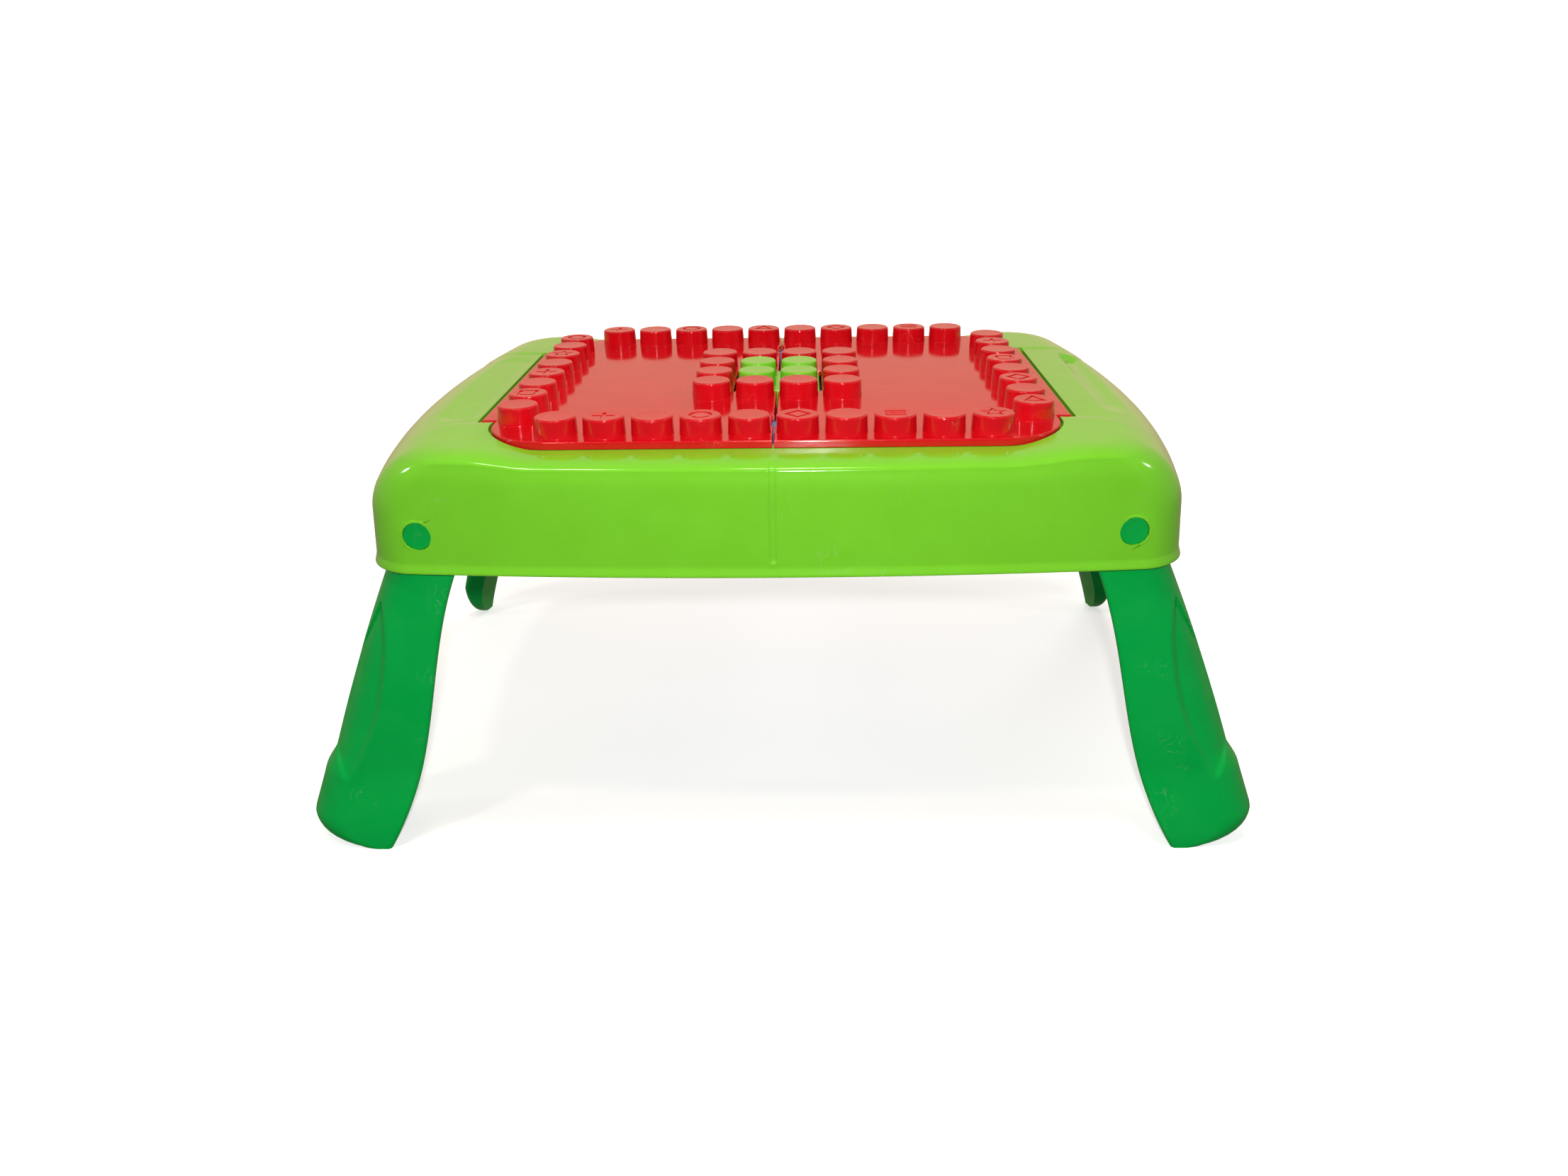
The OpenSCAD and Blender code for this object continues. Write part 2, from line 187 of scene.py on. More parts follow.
def smooth(t):
    """A soft step from 0 to 1 as t goes from 0 to 1."""
    t = np.clip(t, 0, 1)
    return t * t * (3 - 2 * t)


def wing(x):
    """How far the frame's top rises above its rim at x."""
    return WING_RISE * smooth((np.abs(x) - WING_SPAN[0]) / (WING_SPAN[1] - WING_SPAN[0]))


def fillet_in(size, h):
    """How far a fillet of size (width, height) has come in at depth h below its top."""
    return 0 if h >= size[1] else size[0] * (1 - math.sqrt(1 - (1 - h / size[1]) ** 2))


def skin(rings, closed=False):
    """Vertices and faces over a stack of rings with equal numbers of points."""
    n, m = len(rings[0]), len(rings)
    faces = []
    for j in range(m if closed else m - 1):
        k = (j + 1) % m
        faces += [(j * n + i, j * n + (i + 1) % n, k * n + (i + 1) % n, k * n + i) for i in range(n)]
    if not closed:
        faces.append(tuple(range(n - 1, -1, -1)))
        faces.append(tuple((m - 1) * n + i for i in range(n)))
    return np.vstack(rings), faces


def lathe(profile, centre, steps=64, axis="z"):
    """A solid turned about a line through centre, from (radius, height) points."""
    turn = np.arange(steps) * 2 * math.pi / steps
    rings = []
    for radius, height in profile:
        u, v = radius * np.cos(turn), radius * np.sin(turn)
        w = np.full(steps, height, float)
        ring = np.column_stack([u, v, w] if axis == "z" else [u, w, -v])
        rings.append(ring + np.array(centre, float))
    return skin(rings)


def merged(parts):
    """Several (vertices, faces) solids as one."""
    verts, faces, base = [], [], 0
    for v, f in parts:
        verts.append(v)
        faces += [tuple(base + i for i in face) for face in f]
        base += len(v)
    return np.vstack(verts), faces


def inset(points, d):
    """A closed outline moved inwards by d, mitred at its corners."""
    p = np.asarray(points, float)
    before, after = p - np.roll(p, 1, axis=0), np.roll(p, -1, axis=0) - p
    normals = []
    for edge in (before, after):
        length = np.maximum(np.hypot(edge[:, 0], edge[:, 1]), 1e-9)
        normals.append(np.column_stack([-edge[:, 1], edge[:, 0]]) / length[:, None])
    dot = (normals[0] * normals[1]).sum(axis=1)
    return p + d * (normals[0] + normals[1]) / np.maximum(1 + dot, 0.2)[:, None]


def prism(outline, low, high):
    """An outline carried straight up from low to high."""
    outline = np.asarray(outline, float)
    return skin([at_z(outline, low), at_z(outline, high)])


def block(x, y, z):
    """A box between two x, two y and two z."""
    return prism([(x[0], y[0]), (x[1], y[0]), (x[1], y[1]), (x[0], y[1])], z[0], z[1])


def round_box(half_x, half_y, radius, steps=10):
    """A rounded rectangle about the origin, anticlockwise, with points only on its corners."""
    x, y = half_x - radius, half_y - radius
    points = []
    for cx, cy, start in ((x, y, 0), (-x, y, 90), (-x, -y, 180), (x, -y, 270)):
        end = math.radians(start + 90)
        points += arc((cx, cy), radius, start, start + 90, steps)
        points.append((cx + radius * math.cos(end), cy + radius * math.sin(end)))
    return np.array(points)


# ---- Blender meshes ----

SHARP = math.radians(38)


def new_object(name, solid):
    """A mesh object, in metres, of a (vertices, faces) solid in millimetres."""
    verts, faces = solid
    mesh = bpy.data.meshes.new(name)
    mesh.from_pydata((np.asarray(verts) * MM).tolist(), [], faces)
    mesh.validate()
    obj = bpy.data.objects.new(name, mesh)
    bpy.context.scene.collection.objects.link(obj)
    return obj


def apply_modifiers(obj):
    """Replaces an object's mesh with what its modifiers make of it."""
    bpy.context.view_layer.update()
    ready = obj.evaluated_get(bpy.context.evaluated_depsgraph_get())
    mesh = bpy.data.meshes.new_from_object(ready)
    obj.modifiers.clear()
    obj.data = mesh


def shape(name, solid, *steps):
    """A mesh object made of a solid, then joined with or cut by others: ("UNION", solid), ..."""
    obj = new_object(name, solid)
    for operation, tool in steps:
        other = new_object(name + "_tool", tool)
        change = obj.modifiers.new("change", "BOOLEAN")
        change.operation = operation
        change.solver = "MANIFOLD"
        change.object = other
        apply_modifiers(obj)
        bpy.data.objects.remove(other)
    return obj


def drop_flat_pairs(mesh):
    """Removes pairs of faces on the same points, zero-thickness leftovers of a cut."""
    grid = bmesh.new()
    grid.from_mesh(mesh)
    sharing = {}
    for face in grid.faces:
        sharing.setdefault(frozenset(v.index for v in face.verts), []).append(face)
    flat = [face for faces in sharing.values() if len(faces) > 1 for face in faces]
    bmesh.ops.delete(grid, geom=flat, context="FACES")
    grid.to_mesh(mesh)
    grid.free()


def finish_piece(obj, material, body, slot, *nodes):
    """Smooth shading with crisp edges, the material, and the piece's place in the frame."""
    mesh = obj.data
    drop_flat_pairs(mesh)
    mesh.polygons.foreach_set("use_smooth", [True] * len(mesh.polygons))
    mesh.set_sharp_from_angle(angle=SHARP)
    weigh = obj.modifiers.new("weigh", "WEIGHTED_NORMAL")
    weigh.keep_sharp = True
    apply_modifiers(obj)
    obj.data.materials.clear()
    obj.data.materials.append(material)
    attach(obj, body)
    if nodes:
        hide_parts(*nodes)


def flipped(solid, left, front):
    """A solid made in the right-hand rear quarter, moved to its own quarter."""
    verts, faces = solid
    verts = np.asarray(verts) * [-1 if left else 1, -1 if front else 1, 1]
    return verts, [f[::-1] for f in faces] if left != front else faces


# ---- Materials ----

# Scales of the plastics' noises, per metre.
CLOUDS = 38.0
SCRATCHES = 34.0
SCUFFED_AREAS = 21.0
WEAR = 55.0
ORANGE_PEEL = 520.0


def linear(colour):
    """A display colour as the linear one, with an alpha, that shaders take."""
    return [(c / 12.92 if c <= 0.04045 else ((c + 0.055) / 1.055) ** 2.4) for c in colour] + [1.0]


def plastic(name, colour, roughness, mottle=0.05, peel=0.02, scuffs=0.0, sheen=0.5):
    """Moulded plastic: faint clouds in the pigment, a very fine orange peel, handling marks."""
    material = bpy.data.materials.new(name)
    material.use_nodes = True
    nodes, links = material.node_tree.nodes, material.node_tree.links
    shader = nodes["Principled BSDF"]
    shader.inputs["IOR"].default_value = 1.5
    shader.inputs["Specular IOR Level"].default_value = sheen
    place = nodes.new("ShaderNodeTexCoord")

    def noise(scale, detail, rough=0.55):
        n = nodes.new("ShaderNodeTexNoise")
        n.inputs["Scale"].default_value = scale
        n.inputs["Detail"].default_value = detail
        n.inputs["Roughness"].default_value = rough
        links.new(place.outputs["Object"], n.inputs["Vector"])
        return n.outputs["Fac"]

    def ramp(value, stops):
        r = nodes.new("ShaderNodeValToRGB")
        for element, stop in zip(r.color_ramp.elements, stops):
            element.position, element.color = stop
        links.new(value, r.inputs["Fac"])
        return r.outputs["Color"]

    def grey(v):
        return (v, v, v, 1.0)

    base = np.array(linear(colour))
    dark = [float(c) for c in base[:3] * (1 - mottle)] + [1.0]
    light = [float(c) for c in np.minimum(1, base[:3] * (1 + mottle) + 0.004)] + [1.0]
    pigment = ramp(noise(CLOUDS, 3.0), [(0.3, dark), (0.7, light)])

    # Dry scuffs: thin pale scratches that show only where a broad noise lets them.
    scratch = nodes.new("ShaderNodeTexWave")
    scratch.inputs["Scale"].default_value = SCRATCHES
    scratch.inputs["Distortion"].default_value = 16.0
    scratch.inputs["Detail"].default_value = 3.0
    scratch.inputs["Detail Scale"].default_value = 2.5
    links.new(place.outputs["Object"], scratch.inputs["Vector"])
    thin = ramp(scratch.outputs["Fac"], [(0.982, grey(0)), (0.998, grey(1))])
    where = ramp(noise(SCUFFED_AREAS, 2.0), [(0.56, grey(0)), (0.72, grey(1))])
    marks = nodes.new("ShaderNodeMath")
    marks.operation = "MULTIPLY"
    links.new(thin, marks.inputs[0])
    links.new(where, marks.inputs[1])
    amount = nodes.new("ShaderNodeMath")
    amount.operation = "MULTIPLY"
    amount.inputs[1].default_value = scuffs
    links.new(marks.outputs[0], amount.inputs[0])
    mix = nodes.new("ShaderNodeMix")
    mix.data_type = "RGBA"
    mix.inputs["B"].default_value = (0.86, 0.86, 0.82, 1.0)
    links.new(amount.outputs[0], mix.inputs["Factor"])
    links.new(pigment, mix.inputs["A"])
    links.new(mix.outputs["Result"], shader.inputs["Base Color"])

    polished, worn = roughness * 0.85, min(1.0, roughness * 1.35 + 0.02)
    gloss = ramp(noise(WEAR, 4.0, 0.6), [(0.35, grey(polished)), (0.75, grey(worn))])
    links.new(gloss, shader.inputs["Roughness"])

    bump = nodes.new("ShaderNodeBump")
    bump.inputs["Strength"].default_value = 0.25
    bump.inputs["Distance"].default_value = peel * MM
    links.new(noise(ORANGE_PEEL, 2.0), bump.inputs["Height"])
    links.new(bump.outputs["Normal"], shader.inputs["Normal"])
    return material


def zinc(name):
    """Zinc-plated steel with fine turning marks and a clouded sheen."""
    material = bpy.data.materials.new(name)
    material.use_nodes = True
    nodes, links = material.node_tree.nodes, material.node_tree.links
    shader = nodes["Principled BSDF"]
    shader.inputs["Metallic"].default_value = 1.0
    place = nodes.new("ShaderNodeTexCoord")
    cloud = nodes.new("ShaderNodeTexNoise")
    cloud.inputs["Scale"].default_value = 420.0
    cloud.inputs["Detail"].default_value = 4.0
    links.new(place.outputs["Object"], cloud.inputs["Vector"])
    for socket, low, high in (("Base Color", 0.52, 0.68), ("Roughness", 0.24, 0.42)):
        r = nodes.new("ShaderNodeValToRGB")
        r.color_ramp.elements[0].position = 0.3
        r.color_ramp.elements[0].color = (low, low, low * 1.02, 1)
        r.color_ramp.elements[1].position = 0.7
        r.color_ramp.elements[1].color = (high, high, high * 1.02, 1)
        links.new(cloud.outputs["Fac"], r.inputs["Fac"])
        links.new(r.outputs["Color"], shader.inputs[socket])
    bump = nodes.new("ShaderNodeBump")
    bump.inputs["Strength"].default_value = 0.2
    bump.inputs["Distance"].default_value = 0.05 * MM
    links.new(cloud.outputs["Fac"], bump.inputs["Height"])
    links.new(bump.outputs["Normal"], shader.inputs["Normal"])
    return material


LIME = plastic("lime_plastic", (0.49, 0.84, 0.17), 0.11, mottle=0.02, scuffs=0.10)
RED = plastic("red_plastic", (0.84, 0.03, 0.09), 0.085, mottle=0.03, scuffs=0.14)
EMERALD = plastic("emerald_plastic", (0.0, 0.71, 0.29), 0.38, mottle=0.02, peel=0.01,
                  scuffs=0.2, sheen=0.14)
BUTTON = plastic("button_plastic", (0.0, 0.68, 0.27), 0.35, mottle=0.02,
                 scuffs=0.15, sheen=0.2)
BLUE = plastic("blue_plastic", (0.30, 0.52, 0.78), 0.22, scuffs=0.10)
STEEL = zinc("zinc_steel")

# ---- Frame ----

# How far below the rim the outside has a ring, from the lip up: close together at the channel's
# foot and on the two fillets.
OUTER_DEPTHS = sorted(
    {round(END_FILLET[1] * (1 - math.sin(math.radians(a))), 3) for a in range(0, 91, 6)}
    | {round(SIDE_FILLET[1] * (1 - math.sin(math.radians(a))), 3) for a in range(0, 91, 9)}
    | {41, 46, 52, 57, 61, 62.2, 63.2, 64.2, 65.2, 66.4, 67.6}, reverse=True)
# The same for the inside, from under the top down.
INNER_DEPTHS = (0, 0.3, 1, 2, 4.5, 9, 16, 24, 33, 55, RIM_Z - LIP_Z - WALL - TOP_EXTRA)
# The bottom lip: heights above its foot, and how far it stands out there.
LIP_PROFILE = (
    (0.0, 0.6), (0.25, 1.0), (0.8, 1.2), (1.6, 1.1), (2.7, 0.75), (4.0, 0.3), (5.4, -0.1))
# The front and back are eased in this much, over this span, at the lower edge of their fillet.
EASE = 1.2
EASE_SPAN = 5


def outer_outline(h):
    """The frame's outside at depth h below its rim."""
    draft = (RIM_Z - h - LIP_Z) * DRAFT
    fx, fy = fillet_in(END_FILLET, h), fillet_in(SIDE_FILLET, h)
    fy += EASE * math.exp(-(((h - SIDE_FILLET[1]) / EASE_SPAN) ** 2))
    return bowed(plan(HALF[0] - draft - fx, HALF[1] - draft - fy, CORNER_R - fy / 2))


def outer_ring(h):
    """The same as a ring of points, raised where the wings are."""
    ring = at_z(outer_outline(h), RIM_Z - h)
    ring[:, 2] += max(0, 1 - h / WING_FADE) * wing(ring[:, 0])
    return ring


def inner_ring(h):
    """The frame's inside at depth h below the underside of its top."""
    draft = WALL + (UNDER_Z - h - LIP_Z) * DRAFT
    fx = fillet_in([s - WALL for s in END_FILLET], h)
    fy = fillet_in([s - WALL for s in SIDE_FILLET], h)
    outline = plan(HALF[0] - draft - fx, HALF[1] - draft - fy, CORNER_R - WALL - fy / 2)
    return at_z(bowed(outline), UNDER_Z - h)


def lip_ring(z, out):
    """A ring of the bottom lip at height z, standing out so far."""
    return at_z(bowed(plan(HALF[0] + out, HALF[1] + out, CORNER_R + out)), z)


def oblong(x, y, centre, half_x, half_y, radius):
    """Distance outside a rounded rectangle, below zero within it."""
    qx = np.abs(x - centre[0]) - (half_x - radius)
    qy = np.abs(y - centre[1]) - (half_y - radius)
    return np.hypot(np.maximum(qx, 0), np.maximum(qy, 0)) + np.minimum(np.maximum(qx, qy), 0) - radius


# A shallow channel down the middle of the front and of the back, between two faint ridges. It ends
# above the lip in a small raised pip.
CHANNEL_HALF = 2.6
CHANNEL_SLOPE = 1.3
CHANNEL_DEPTH = 0.7
CHANNEL_FOOT = 8
RIDGE_X = 3.1
RIDGE_SPAN = 0.6
RIDGE_SHARE = 0.35
PIP_HEIGHT = 0.5
PIP_SPAN = 2.2
PIP_ABOVE_LIP = 9.5

# The middle of each wing is set down from the corners, between two creases.
WING_SUNK = 0.8
REAR_CREASE, FRONT_CREASE = 109, -113
CREASE_WIDTH = 4
# The left wing has a shallow oblong panel: its centre, half sizes, radius, depth and edge width.
PANEL_AT = (-224, -6)
PANEL_SIZE = (13.5, 96, 12)
PANEL_DEPTH = 0.9
PANEL_EDGE = 2.4
# The right wing has a scoop, deep and square at the rear and running out to nothing at the front:
# where it starts and ends, its inner and outer edge and how far they drift out, and its depth.
SCOOP_Y = (-96, 90)
SCOOP_X = (229, 246)
SCOOP_DRIFT = 3
SCOOP_DEPTH = 3.8


def add_frame_details(ring):
    """Sinks the channel, creases, panel and scoop into a ring of the frame's outside."""
    x, y, z = ring[:, 0].copy(), ring[:, 1].copy(), ring[:, 2].copy()
    aside = np.abs(x)
    channel = smooth((CHANNEL_HALF - aside) / CHANNEL_SLOPE)
    channel -= RIDGE_SHARE * np.exp(-(((aside - RIDGE_X) / RIDGE_SPAN) ** 2))
    channel = channel * smooth((z - LIP_Z - CHANNEL_FOOT) / 3) * smooth((RIM_Z + 1 - z) / 1.5)
    pip = np.exp(-((x / PIP_SPAN) ** 2) - ((z - LIP_Z - PIP_ABOVE_LIP) / PIP_SPAN) ** 2)
    ring[:, 1] -= np.sign(y) * (CHANNEL_DEPTH * channel - PIP_HEIGHT * pip)

    # The rest fades out as the outside turns down from the top.
    top = smooth((z - RIM_Z + 20) / 18)
    outwards = np.clip((aside - HINGE.x) / 40, 0, 1)
    rear_crease, front_crease = REAR_CREASE + 3 * outwards, FRONT_CREASE - 12 * outwards**2
    between = smooth((rear_crease - y) / CREASE_WIDTH) * smooth((y - front_crease) / CREASE_WIDTH)
    sunk = WING_SUNK * between * smooth((aside - LID_HALF[0]) / CREASE_WIDTH) * top

    panel = smooth(0.5 - oblong(x, y, PANEL_AT, *PANEL_SIZE) / PANEL_EDGE)
    sunk += np.where(x < 0, PANEL_DEPTH * panel, 0) * top

    along = np.clip((y - SCOOP_Y[0]) / (SCOOP_Y[1] - SCOOP_Y[0]), 0, 1)
    inner, outer = SCOOP_X[0] + SCOOP_DRIFT * along, SCOOP_X[1] + SCOOP_DRIFT * along
    scoop = smooth((x - inner) / 4.5) * smooth((outer + 3 - x) / 9)
    scoop = scoop * smooth((SCOOP_Y[1] - y) / 5) * (0.35 + 0.65 * along) * smooth(along / 0.12)
    sunk += np.where(x > 0, SCOOP_DEPTH * scoop, 0) * top
    ring[:, 2] -= sunk
    return ring


def frame_skin(steps=18):
    """The frame as one closed skin: lip, outside, top in so many steps to the opening, inside."""
    rings = [lip_ring(LIP_Z + z, out) for z, out in LIP_PROFILE]
    rings += [add_frame_details(outer_ring(h)) for h in OUTER_DEPTHS]
    opening = plan(*WELL)
    rim = outer_outline(0)
    for t in np.linspace(0, 1, steps + 1)[1:]:
        ring = at_z(rim + (opening - rim) * t, RIM_Z)
        ring[:, 2] += wing(ring[:, 0])
        rings.append(add_frame_details(ring))
    rings += [at_z(opening, UNDER_Z)] + [inner_ring(h) for h in INNER_DEPTHS]
    return skin(rings, closed=True)


def seat_outline():
    """The recess that the closed lids and their hinge tabs lie in."""
    lid_x, lid_y, r = LID_HALF[0] + LID_GAP, LID_HALF[1] + LID_GAP, LID_R + LID_GAP
    tab_x, tab_y = HINGE.x + BARREL_R + TAB_GAP, TAB_HALF + LID_GAP
    quarter = [(tab_x, 0), (tab_x, tab_y), (lid_x, tab_y)]
    quarter += arc((lid_x - r, lid_y - r), r, 0, 90, ARC_STEPS) + [(lid_x - r, lid_y)]
    left = [(-px, py) for px, py in reversed(quarter)]
    half = quarter + left
    return half + [(-px, -py) for px, py in half[1:-1]]


def hole_rim(left, front):
    """A raised ring round the hole of a leg's pivot."""
    steps = ((0, -1.6), (0, 0.2), (0.3, 0.55), (1, 0.65), (1.7, 0.35), (2.1, -1.6))
    profile = [(HOLE_R + out, APRON_Y + y) for out, y in steps]
    points = lathe(profile, (PIVOT.x, 0, PIVOT.z), 64, "y")[0].reshape(len(profile), -1, 3)
    return flipped(skin(list(points), closed=True), left, front)


def hole_tool(left, front):
    """A cutter for that hole, right through the frame's side."""
    through = [(HOLE_R, 170), (HOLE_R, 220)]
    return flipped(lathe(through, (PIVOT.x, 0, PIVOT.z), 64, "y"), left, front)


def make_frame():
    """The lime frame, with its pivots' holes and the recess for the lids."""
    quarters = [(left, front) for left in (True, False) for front in (True, False)]
    obj = shape(
        "lime_frame", frame_skin(),
        ("DIFFERENCE", merged([hole_tool(*q) for q in quarters])),
        ("UNION", merged([hole_rim(*q) for q in quarters])),
        ("DIFFERENCE", prism(seat_outline(), SEAT_Z, RIM_Z + 20)),
    )
    finish_piece(obj, LIME, "frame", "lime_plastic", "frame_shell")


# ---- Studs and their marks ----


def stud(x, y):
    """A tapered stud with a small root fillet, a rounded top edge and a barely dished top."""
    round_r, root = 1.5, 0.45
    side = STUD_H - round_r
    profile = [(STUD_R + root, -0.6), (STUD_R + root, 0), (STUD_R + 0.12, 0.12), (STUD_R, 0.5)]
    profile += [(STUD_TOP_R + 0.25, side * 0.5)]
    for a in range(0, 91, 18):
        r = STUD_TOP_R - round_r + round_r * math.cos(math.radians(a))
        profile.append((r, side + round_r * math.sin(math.radians(a))))
    profile += [(11.6, STUD_H - 0.02), (9, STUD_H - 0.1), (4, STUD_H - 0.16)]
    return lathe(profile, (x, y, PLATE_Z), 72)


def polygon(sides, radius, turn=0.0, detail=1):
    """A regular polygon, turned by an angle in radians, with so many points to a side."""
    corners = [np.array((radius * math.cos(a), radius * math.sin(a)))
               for a in (2 * math.pi * i / sides + turn for i in range(sides))]
    points = []
    for a, b in zip(corners, corners[1:] + corners[:1]):
        points += [a + (b - a) * t / detail for t in range(detail)]
    return np.array(points)


# The marks engraved in the outer studs: generic shapes, most of them a band between two outlines.
MARKS = ("ring", "triangle", "square", "star", "bars", "diamond", "cross")
MARK_Z = (TOP_Z - 0.8, TOP_Z + 2)
STAR = polygon(10, 1.0, math.pi / 2) * np.where(np.arange(10) % 2, 0.45, 1)[:, None]
BANDS = {
    "ring": (polygon(40, 7.9), polygon(40, 5.5)),
    "triangle": (polygon(3, 9.6, math.pi / 2, 4), polygon(3, 5.2, math.pi / 2, 4)),
    "square": (polygon(4, 9.6, math.pi / 4, 4), polygon(4, 6.4, math.pi / 4, 4)),
    "star": (STAR * 9.6, STAR * 6.4),
    "diamond": (polygon(4, 9.2, 0, 4), polygon(4, 6.0, 0, 4)),
}
CROSS = ((-7.5, -1.3), (-1.3, -1.3), (-1.3, -7.5), (1.3, -7.5), (1.3, -1.3), (7.5, -1.3),
         (7.5, 1.3), (1.3, 1.3), (1.3, 7.5), (-1.3, 7.5), (-1.3, 1.3), (-7.5, 1.3))
BARS_Y = (-4.6, 0, 4.6)
BAR_HALF = (7, 1.2)


def mark(kind, x, y):
    """Cutters for one of the MARKS on the stud at x, y."""
    if kind == "bars":
        across = (x - BAR_HALF[0], x + BAR_HALF[0])
        return [block(across, (y + s - BAR_HALF[1], y + s + BAR_HALF[1]), MARK_Z) for s in BARS_Y]
    if kind == "cross":
        return [prism([(x + px, y + py) for px, py in CROSS], *MARK_Z)]
    outer, inner = (outline + [x, y] for outline in BANDS[kind])
    low, high = MARK_Z
    rings = [at_z(outer, low), at_z(outer, high), at_z(inner, high), at_z(inner, low)]
    return [skin(rings, closed=True)]


def stud_places():
    """Column and row of each stud of the right-hand lid, and whether it is an outer one.

    The outer studs follow the edge with no stud at the corner; the others frame the centre block.
    """
    places = []
    last_col, last_row = COLUMNS - 1, ROWS - 1
    for col in range(COLUMNS // 2, COLUMNS):
        for row in range(ROWS):
            edge = (row in (0, last_row)) != (col == last_col)
            ring = col < 8 and 2 < row < 7 and not (col < 7 and 3 < row < 6)
            if edge or ring:
                places.append((col, row, edge))
    return places


# ---- Lids ----

# The finger slots in the seam: their half width, and where they start and end.
SLOT_HALF = 2
SLOT_Y = (100, 128)
# The notch round the centre block, and the room in the hollow for the notch's own wall.
NOTCH = BLOCK_HALF + 1.3
NOTCH_WALL = BLOCK_HALF + 5
# The holes of the hinge pins in the tab's ends.
HINGE_HOLE_R = 1.25
HINGE_HOLE_Y = (98, 110)


def lid_outline(tab_x):
    """The right-hand lid from above, anticlockwise, with its tab, notch and finger slots."""
    hx, hy, r = *LID_HALF, LID_R
    right = [(hx, -TAB_HALF), (tab_x, -TAB_HALF), (tab_x, TAB_HALF), (hx, TAB_HALF)]
    low = [(SEAM, -hy)] + arc((hx - r, r - hy), r, 270, 360, 20) + [(hx, r - hy)]
    high = arc((hx - r, hy - r), r, 0, 90, 20) + [(hx - r, hy), (SEAM, hy)]
    slot = [(SEAM, SLOT_Y[1]), (SLOT_HALF, SLOT_Y[1]), (SLOT_HALF, SLOT_Y[0]), (SEAM, SLOT_Y[0])]
    back = [(SEAM, NOTCH), (NOTCH, NOTCH), (NOTCH, -NOTCH), (SEAM, -NOTCH)]
    front = [(px, -py) for px, py in reversed(slot)]
    return np.array(low + right + high + slot + back + front)


def lid_plate():
    """The lid's plate: rounded along its top edge, bevelled below, with the tab's round edge."""
    edge_r, bevel = 1.1, 0.3
    edge_h = PLATE_Z - RIM_Z - edge_r
    levels = [0, bevel, 0.9, 1.7, 2.5, 3.3, edge_h]
    levels += [edge_h + edge_r * math.sin(math.radians(a)) for a in (25, 48, 70, 90)]
    rings = []
    for h in levels:
        up = max(0.0, h - edge_h)
        rounding = edge_r - math.sqrt(max(0.0, edge_r**2 - up**2)) + max(0.0, bevel - h)
        reach = math.sqrt(max(0.0, BARREL_R**2 - (h - BARREL_R) ** 2))
        rings.append(at_z(inset(lid_outline(HINGE.x + reach + rounding), rounding), RIM_Z + h))
    return skin(rings)


def lid_hollow():
    """The space under the plate, inside its skirt."""
    hx, hy, r = LID_HALF[0] - 2 * WALL, LID_HALF[1] - WALL, LID_R - WALL
    x, clear = SEAM + WALL, NOTCH_WALL
    outline = [(x, -hy)] + arc((hx - r, r - hy), r, 270, 360, 12) + arc((hx - r, hy - r), r, 0, 90, 12)
    outline += [(hx - r, hy), (x, hy), (x, clear), (clear, clear), (clear, -clear), (x, -clear)]
    return prism(outline, RIM_Z - 2, PLATE_Z - WALL)


def stud_hollow(x, y):
    """A cutter for the inside of a stud, open below."""
    radius = STUD_TOP_R - 2
    profile = [(radius, RIM_Z - 2), (radius, TOP_Z - 3.4), (STUD_TOP_R - 3, TOP_Z - 2.5)]
    return lathe(profile, (x, y, 0), 40)


def make_lid(side):
    """One lid; both are made on the right, with different marks, and the left one is flipped."""
    left = side == "left"
    spots, marks = [], []
    for col, row, edge in stud_places():
        x, y = (col - (COLUMNS - 1) / 2) * STUD_PITCH, (row - (ROWS - 1) / 2) * STUD_PITCH
        spots.append((x, y))
        if edge and (col + row + (not left)) % 2:
            marks += mark(MARKS[(3 * col + 2 * row + (not left)) % len(MARKS)], x, y)
    pins = []
    for y0, y1 in ((-HINGE_HOLE_Y[1], -HINGE_HOLE_Y[0]), HINGE_HOLE_Y):
        hole = [(HINGE_HOLE_R, y0), (HINGE_HOLE_R, y1)]
        pins.append(lathe(hole, (HINGE.x, 0, HINGE.z), 24, "y"))
    steps = [
        ("UNION", merged([stud(x, y) for x, y in spots])),
        ("DIFFERENCE", lid_hollow()),
        ("DIFFERENCE", merged([stud_hollow(x, y) for x, y in spots])),
        ("DIFFERENCE", merged(marks)),
        ("DIFFERENCE", merged(pins)),
    ]
    steps = [(operation, flipped(solid, left, False)) for operation, solid in steps]
    obj = shape(side + "_red_lid", flipped(lid_plate(), left, False), *steps)
    finish_piece(obj, RED, side + "_lid", "red_plastic", side + "_lid")


# ---- Centre block ----


def make_block():
    """The 2 x 2 block: a hollow box with bevelled lower and rounded upper edges, and its studs."""
    low, bevel, corner_r = block_low.z, 0.4, 2.5
    rings = []
    for z, back in ((low, bevel), (low + bevel, 0), (PLATE_Z - 1, 0), (PLATE_Z - 0.5, 0.14),
                    (PLATE_Z - 0.13, 0.5), (PLATE_Z, 1)):
        half = BLOCK_HALF - back
        rings.append(at_z(round_box(half, half, corner_r - back * 0.8), z))
    inner = BLOCK_HALF - WALL
    spots = [(sx * STUD_PITCH / 2, sy * STUD_PITCH / 2) for sx in (-1, 1) for sy in (-1, 1)]
    obj = shape(
        "lime_centre_block", skin(rings),
        ("UNION", merged([stud(x, y) for x, y in spots])),
        ("DIFFERENCE", block((-inner, inner), (-inner, inner), (low - 1, PLATE_Z - WALL))),
        ("DIFFERENCE", merged([stud_hollow(x, y) for x, y in spots])),
    )
    finish_piece(obj, LIME, "centre_block", "lime_plastic", "centre_block")


# ---- Tray ----

